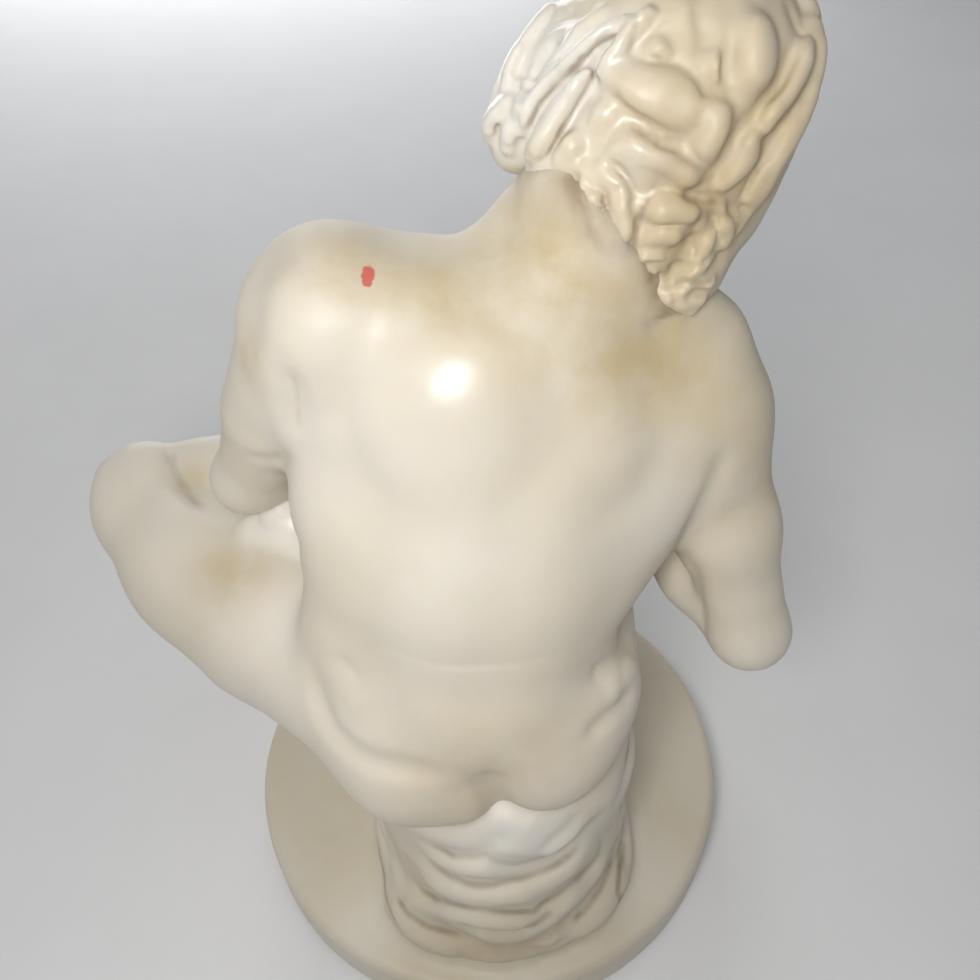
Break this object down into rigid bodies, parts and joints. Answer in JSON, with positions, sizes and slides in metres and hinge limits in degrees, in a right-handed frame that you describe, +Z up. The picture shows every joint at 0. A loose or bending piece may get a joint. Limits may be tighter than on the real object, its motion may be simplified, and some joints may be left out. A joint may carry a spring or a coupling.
{
  "type": "bubbling ornament",
  "caption": "Seated classical nude figure in ivory cast resin on a ledged rock and round base, with an airline inlet elbow and an air chamber that lets bubbles out at the front.",
  "frame": {"origin": "centre of the round base, on the plane of the undersides of the rubber feet and the centre pad", "axes": "+Z up; the seated figure looks towards -Y and its left side is towards +X"},
  "size_m": [0.0984, 0.0875, 0.1401],
  "materials": {
    "cast_resin": "satin, waxy, ivory, with tan patina in the hollows",
    "cover_plastic": "fine matte",
    "fitting_plastic": "semi-gloss moulded",
    "black_rubber": "matte",
    "stainless": "brushed",
    "clear_vinyl": "glossy, slightly cloudy",
    "air_stone": "rough, porous"
  },
  "bodies": {
    "ornament": {"figure_casting": "cast_resin", "head_casting": "cast_resin", "rock_seat": "cast_resin", "base_disc": "cast_resin", "base_cover": "cover_plastic", "cover_gasket": "black_rubber", "cover_screw_1": "stainless", "cover_screw_2": "stainless", "cover_screw_3": "stainless", "cover_screw_4": "stainless", "rock_screw_1": "stainless", "rock_screw_2": "stainless", "rubber_foot_1": "black_rubber", "rubber_foot_2": "black_rubber", "rubber_foot_3": "black_rubber", "rubber_foot_4": "black_rubber", "centre_pad": "black_rubber", "ballast_left": "stainless", "ballast_right": "stainless", "seat_dowel_left": "stainless", "seat_dowel_right": "stainless", "neck_dowel": "stainless", "inlet_grommet": "black_rubber", "inner_airline": "clear_vinyl", "air_stone": "air_stone", "outlet_nozzle": "fitting_plastic"},
    "elbow": {"inlet_elbow": "fitting_plastic"}
  },
  "joints": [
    {"name": "elbow_swivel", "type": "hinge", "parent": "ornament", "child": "elbow", "pos_m": [0, -0.0448, 0.006], "axis": [0, -1, 0], "range_deg": [0, 180]}
  ]
}
